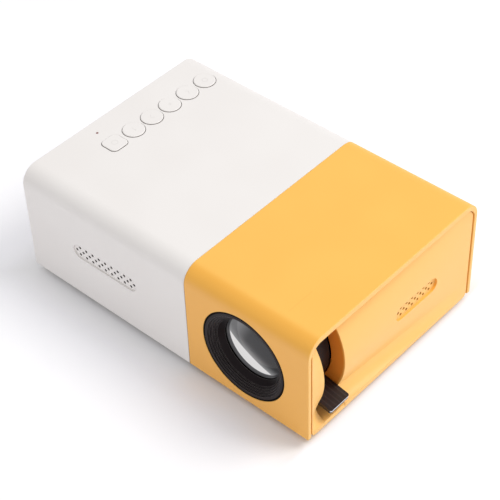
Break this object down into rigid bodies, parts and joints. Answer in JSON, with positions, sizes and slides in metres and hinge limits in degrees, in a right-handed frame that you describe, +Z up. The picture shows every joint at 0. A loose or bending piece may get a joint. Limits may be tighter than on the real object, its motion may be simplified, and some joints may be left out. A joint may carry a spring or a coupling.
{
  "type": "home projector",
  "caption": "Palm-sized box projector in white and yellow, with a front lens, a focus lever in a curved end slot, round top keys and pill-shaped grilles.",
  "frame": {"origin": "on the table, under the middle of the whole object, with the focus lever counted in the length", "axes": "+X along the body from the white end to the yellow end with the focus lever, -Y the way the lens looks, +Z up"},
  "size_m": [0.128, 0.0864, 0.0465],
  "materials": {
    "white_shell": "fine satin moulded ABS, off-white",
    "yellow_shell": "fine satin moulded ABS, warm yellow",
    "white_key": "satin moulded key cap",
    "black_trim": "satin black moulding",
    "black_moulding": "matt black moulding",
    "fan_black": "glass-filled black plastic",
    "socket_black": "black socket body",
    "dark_metal": "dark grey anodised ring",
    "steel": "plated steel",
    "spring_steel": "spring steel wire clip",
    "black_steel": "blackened steel",
    "coated_glass": "coated lens glass",
    "clear_glass": "clear lens glass",
    "clear_plastic": "clear moulded fresnel sheet",
    "picture_glass": "liquid crystal window",
    "panel_frame": "black panel border",
    "mirror_glass": "front-silvered glass",
    "grey_foam": "closed-cell foam tape",
    "ribbon": "polyimide flat cable",
    "white_board": "white solder mask on an aluminium board",
    "led": "phosphor under a silicone dome",
    "aluminium": "extruded heat sink",
    "cone": "pressed paper cone",
    "magnet": "plated magnet cup",
    "green_board": "solder mask on glass epoxy",
    "chip": "epoxy chip packages",
    "status_lens": "red tinted light pipe",
    "dark_window": "infrared-passing window",
    "brass": "knurled brass insert",
    "rubber": "soft rubber foot"
  },
  "bodies": {
    "case": {"barrel_clip": "spring_steel", "board_chips": "chip", "board_screws": "steel", "card_socket": "steel", "case_screws": "black_steel", "condenser_holder": "black_moulding", "condenser_lens": "clear_glass", "data_socket": "steel", "engine_housing": "black_moulding", "engine_lid": "black_moulding", "engine_screws": "steel", "fan_frame": "fan_black", "fold_mirror": "mirror_glass", "foot_1": "rubber", "foot_2": "rubber", "foot_3": "rubber", "foot_4": "rubber", "front_fresnel": "clear_plastic", "heat_sink": "aluminium", "key_board": "green_board", "key_switches": "steel", "lcd_panel": "panel_frame", "lcd_ribbon": "ribbon", "led_board": "white_board", "led_emitter": "led", "lens_barrel": "black_moulding", "lens_bezel": "black_trim", "light_pipe": "status_lens", "main_board": "green_board", "mirror_pad": "grey_foam", "picture_glass": "picture_glass", "power_socket": "socket_black", "rear_fresnel": "clear_plastic", "remote_window": "dark_window", "sound_socket": "socket_black", "speaker_basket": "steel", "speaker_cone": "cone", "speaker_gasket": "grey_foam", "speaker_magnet": "magnet", "tripod_insert": "brass", "video_socket": "steel", "white_base": "white_shell", "white_cover": "white_shell", "yellow_base": "yellow_shell", "yellow_cover": "yellow_shell"},
    "focus_assembly": {"focus_ring": "black_trim", "focus_lever": "black_trim"},
    "lens_group": {"lens_cell": "black_moulding", "lens_retainer": "dark_metal", "cam_pins": "steel", "front_lens": "coated_glass", "middle_lens": "clear_glass", "rear_lens": "clear_glass"},
    "fan_rotor_body": {"fan_rotor": "fan_black"},
    "round_key_1_body": {"round_key_1": "white_key"},
    "round_key_2_body": {"round_key_2": "white_key"},
    "round_key_3_body": {"round_key_3": "white_key"},
    "round_key_4_body": {"round_key_4": "white_key"},
    "round_key_5_body": {"round_key_5": "white_key"},
    "power_key_body": {"power_key": "white_key"}
  },
  "joints": [
    {"name": "focus_turn", "type": "hinge", "parent": "case", "child": "focus_assembly", "pos_m": [0.0352, -0.0299, 0.0234], "axis": [0, -1, 0], "range_deg": [-5, 58]},
    {"name": "lens_focus", "type": "slide", "parent": "case", "child": "lens_group", "axis": [0, 1, 0], "range_m": [-0.0005, 0.0047]},
    {"name": "fan_spin", "type": "hinge", "parent": "case", "child": "fan_rotor_body", "pos_m": [-0.0365, 0.036, 0.02185], "axis": [0, 1, 0], "continuous": true},
    {"name": "round_key_1_press", "type": "slide", "parent": "case", "child": "round_key_1_body", "axis": [0, 0, -1], "range_m": [0, 0.0006], "stiffness_N_per_m": 1500, "springref_m": -0.0005},
    {"name": "round_key_2_press", "type": "slide", "parent": "case", "child": "round_key_2_body", "axis": [0, 0, -1], "range_m": [0, 0.0006], "stiffness_N_per_m": 1500, "springref_m": -0.0005},
    {"name": "round_key_3_press", "type": "slide", "parent": "case", "child": "round_key_3_body", "axis": [0, 0, -1], "range_m": [0, 0.0006], "stiffness_N_per_m": 1500, "springref_m": -0.0005},
    {"name": "round_key_4_press", "type": "slide", "parent": "case", "child": "round_key_4_body", "axis": [0, 0, -1], "range_m": [0, 0.0006], "stiffness_N_per_m": 1500, "springref_m": -0.0005},
    {"name": "round_key_5_press", "type": "slide", "parent": "case", "child": "round_key_5_body", "axis": [0, 0, -1], "range_m": [0, 0.0006], "stiffness_N_per_m": 1500, "springref_m": -0.0005},
    {"name": "power_key_press", "type": "slide", "parent": "case", "child": "power_key_body", "axis": [0, 0, -1], "range_m": [0, 0.0006], "stiffness_N_per_m": 1500, "springref_m": -0.0005}
  ],
  "couplings": [
    {"joint": "lens_focus", "follows": "focus_turn", "m_per_rad": 0.0044}
  ]
}
